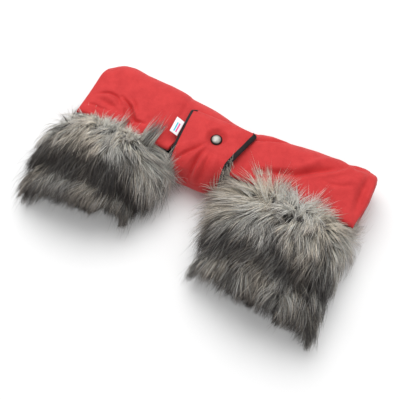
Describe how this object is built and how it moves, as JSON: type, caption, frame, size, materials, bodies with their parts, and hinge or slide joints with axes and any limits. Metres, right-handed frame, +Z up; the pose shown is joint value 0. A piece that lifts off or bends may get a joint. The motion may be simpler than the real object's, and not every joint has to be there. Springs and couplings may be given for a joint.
{
  "type": "handlebar hand warmer muff",
  "caption": "Padded muff folded round a handlebar, with faux-fur hand cuffs and a wrap-round flap closed by a press stud.",
  "frame": {"origin": "on the handlebar's axis, halfway along the muff", "axes": "+X along the handlebar, +Y away from the user, +Z up"},
  "size_m": [0.467, 0.258, 0.072],
  "materials": {
    "red_shell": "woven shell fabric with a soft sheen",
    "white_wadding": "quilted fibre wadding",
    "black_fleece": "short-pile fleece",
    "faux_fur": "long faux-fur pile, banded light and dark",
    "fur_backing": "knitted backing",
    "hem_elastic": "woven elastic",
    "black_binding": "woven binding tape",
    "nickel": "plated, lightly brushed",
    "label_ribbon": "woven satin ribbon"
  },
  "bodies": {
    "muff": {"outer_shell": "red_shell", "wadding": "white_wadding", "fleece_lining": "black_fleece", "left_end_hem": "red_shell", "right_end_hem": "red_shell", "left_cuff_fur": "faux_fur", "right_cuff_fur": "faux_fur", "left_cuff_backing": "fur_backing", "right_cuff_backing": "fur_backing", "left_cuff_lining": "black_fleece", "right_cuff_lining": "black_fleece", "left_cuff_elastic": "hem_elastic", "right_cuff_elastic": "hem_elastic", "flap_root_shell": "red_shell", "flap_root_wadding": "white_wadding", "flap_root_lining": "black_fleece", "flap_root_bindings": "black_binding", "snap_stud": "nickel", "snap_rivet": "nickel"},
    "flap": {"flap_shell": "red_shell", "flap_wadding": "white_wadding", "flap_lining": "black_fleece", "flap_binding_left": "black_binding", "flap_binding_right": "black_binding", "snap_cap": "nickel", "snap_socket": "nickel", "side_label": "label_ribbon"}
  },
  "joints": [
    {"name": "flap_hinge", "type": "hinge", "parent": "muff", "child": "flap", "pos_m": [-0.013, -0.062, 0.0374], "axis": [1, 0, 0], "range_deg": [0, 150]}
  ]
}
